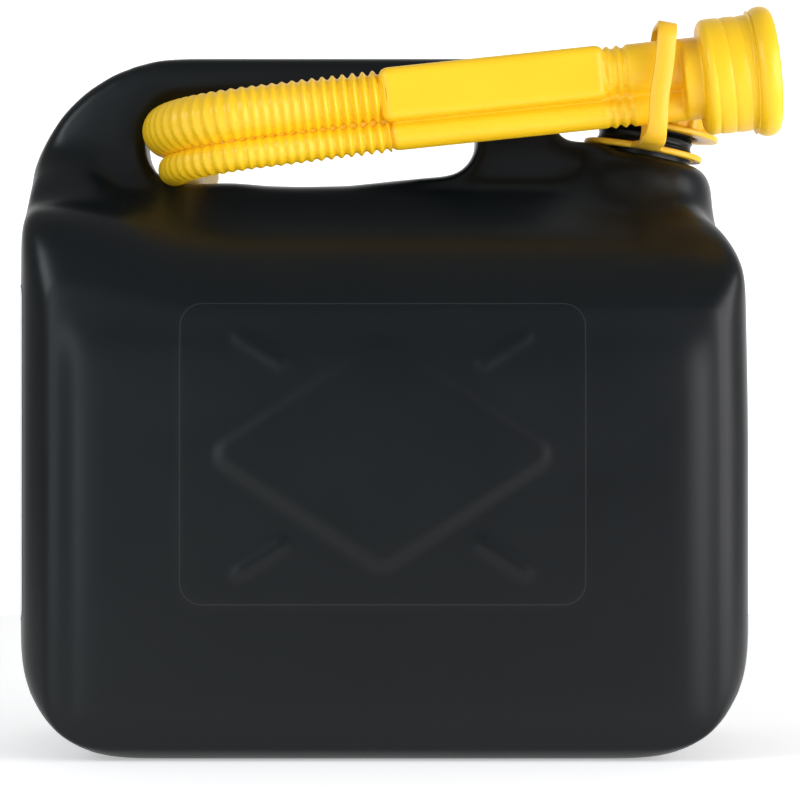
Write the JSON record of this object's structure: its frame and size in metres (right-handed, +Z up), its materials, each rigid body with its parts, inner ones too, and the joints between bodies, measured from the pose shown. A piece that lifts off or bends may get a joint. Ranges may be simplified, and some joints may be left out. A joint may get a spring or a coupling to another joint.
{
  "type": "fuel can",
  "caption": "Black moulded fuel can with a hand hole and leaning neck, a ribbed yellow screw cap, and a flexible yellow bellows spout stowed in a loop and hooked through the handle.",
  "frame": {"origin": "centre of the flat base, on the surface the can stands on", "axes": "+Z up, +X towards the neck and the spout's socket, -Y is the front face beside which the spout is stowed"},
  "size_m": [0.2782, 0.147, 0.2737],
  "materials": {
    "canister": "black blow-moulded HDPE, satin with a fine eggshell texture and soft moulded edges",
    "label": "plain printed sticker, white border and grey panel, no lettering",
    "holder": "yellow flexible polyethylene, slightly translucent",
    "cap": "yellow moulded polypropylene, satin, grip ribs",
    "cap_inner": "yellow moulded polypropylene inner cap with a screw thread",
    "gasket": "black nitrile rubber",
    "spout": "yellow blow-moulded LDPE, satin, slightly translucent"
  },
  "bodies": {
    "canister": {"canister_shell": "canister", "side_label": "label"},
    "cap_seal": {"cap_gasket": "gasket"},
    "cap_inner": {"cap_core": "cap_inner"},
    "cap_outer": {"cap_shell": "cap"},
    "holder": {"spout_holder": "holder"},
    "spout": {"spout_socket": "spout", "spout_washer": "gasket", "spout_barrel": "spout"},
    "link_01": {"bellows_01": "spout"},
    "link_02": {"bellows_02": "spout"},
    "link_03": {"bellows_03": "spout"},
    "link_04": {"bellows_04": "spout"},
    "link_05": {"bellows_05": "spout"},
    "link_06": {"bellows_06": "spout"},
    "link_07": {"bellows_07": "spout"},
    "link_08": {"bellows_08": "spout"},
    "link_09": {"bellows_09": "spout"},
    "link_10": {"bellows_10": "spout"},
    "tip": {"spout_tip": "spout"}
  },
  "joints": [
    {"name": "cap_lift", "type": "slide", "parent": "canister", "child": "cap_seal", "axis": [0.1736, 0, 0.9848], "range_m": [0, 0.012]},
    {"name": "cap_turn", "type": "hinge", "parent": "cap_seal", "child": "cap_inner", "pos_m": [0.0985, 0, 0.2246], "axis": [0.1736, 0, 0.9848], "range_deg": [0, 1080]},
    {"name": "cap_press", "type": "slide", "parent": "cap_inner", "child": "cap_outer", "axis": [-0.1736, 0, -0.9848], "range_m": [0, 0.0015], "stiffness_N_per_m": 1500},
    {"name": "holder_swing", "type": "hinge", "parent": "canister", "child": "holder", "pos_m": [0.0985, 0, 0.2246], "axis": [0.1736, 0, 0.9848], "range_deg": [0, 90]},
    {"name": "spout_slide", "type": "slide", "parent": "holder", "child": "spout", "axis": [0.9945, 0, 0.1045], "range_m": [0, 0.015]},
    {"name": "hose_curl", "type": "hinge", "parent": "spout", "child": "link_01", "pos_m": [-0.0014, -0.046, 0.24065], "axis": [0.1219, 0, -0.9925], "range_deg": [0, 2], "stiffness_Nm_per_rad": 0.2},
    {"name": "curl_02", "type": "hinge", "parent": "link_01", "child": "link_02", "pos_m": [-0.02055, -0.046, 0.2383], "axis": [0.1219, 0, -0.9925], "range_deg": [0, 2]},
    {"name": "curl_03", "type": "hinge", "parent": "link_02", "child": "link_03", "pos_m": [-0.03604, -0.046, 0.2364], "axis": [0.1219, 0, -0.9925], "range_deg": [0, 2]},
    {"name": "curl_04", "type": "hinge", "parent": "link_03", "child": "link_04", "pos_m": [-0.05152, -0.046, 0.23449], "axis": [0.1392, 0, -0.9903], "range_deg": [0, 2]},
    {"name": "curl_05", "type": "hinge", "parent": "link_04", "child": "link_05", "pos_m": [-0.05872, -0.04499, 0.23348], "axis": [0.1392, 0, -0.9903], "range_deg": [0, 2]},
    {"name": "curl_06", "type": "hinge", "parent": "link_05", "child": "link_06", "pos_m": [-0.06544, -0.04221, 0.23253], "axis": [0.1392, 0, -0.9903], "range_deg": [0, 2]},
    {"name": "curl_07", "type": "hinge", "parent": "link_06", "child": "link_07", "pos_m": [-0.07128, -0.03785, 0.23171], "axis": [0.1392, 0, -0.9903], "range_deg": [0, 2]},
    {"name": "curl_08", "type": "hinge", "parent": "link_07", "child": "link_08", "pos_m": [-0.07588, -0.03217, 0.23107], "axis": [0.1392, 0, -0.9903], "range_deg": [0, 2]},
    {"name": "curl_09", "type": "hinge", "parent": "link_08", "child": "link_09", "pos_m": [-0.07894, -0.02552, 0.23064], "axis": [0.1392, 0, -0.9903], "range_deg": [0, 2]},
    {"name": "curl_10", "type": "hinge", "parent": "link_09", "child": "link_10", "pos_m": [-0.08028, -0.01831, 0.23045], "axis": [0.1392, 0, -0.9903], "range_deg": [0, 2]},
    {"name": "curl_11", "type": "hinge", "parent": "link_10", "child": "tip", "pos_m": [-0.07982, -0.01098, 0.23051], "axis": [0.1392, 0, -0.9903], "range_deg": [0, 2]}
  ],
  "couplings": [
    {"joint": "curl_02", "follows": "hose_curl", "ratio": 1},
    {"joint": "curl_03", "follows": "hose_curl", "ratio": 1},
    {"joint": "curl_04", "follows": "hose_curl", "ratio": 1},
    {"joint": "curl_05", "follows": "hose_curl", "ratio": 1},
    {"joint": "curl_06", "follows": "hose_curl", "ratio": 1},
    {"joint": "curl_07", "follows": "hose_curl", "ratio": 1},
    {"joint": "curl_08", "follows": "hose_curl", "ratio": 1},
    {"joint": "curl_09", "follows": "hose_curl", "ratio": 1},
    {"joint": "curl_10", "follows": "hose_curl", "ratio": 1},
    {"joint": "curl_11", "follows": "hose_curl", "ratio": 1},
    {"joint": "cap_lift", "follows": "cap_turn", "m_per_rad": 0.00063662}
  ]
}
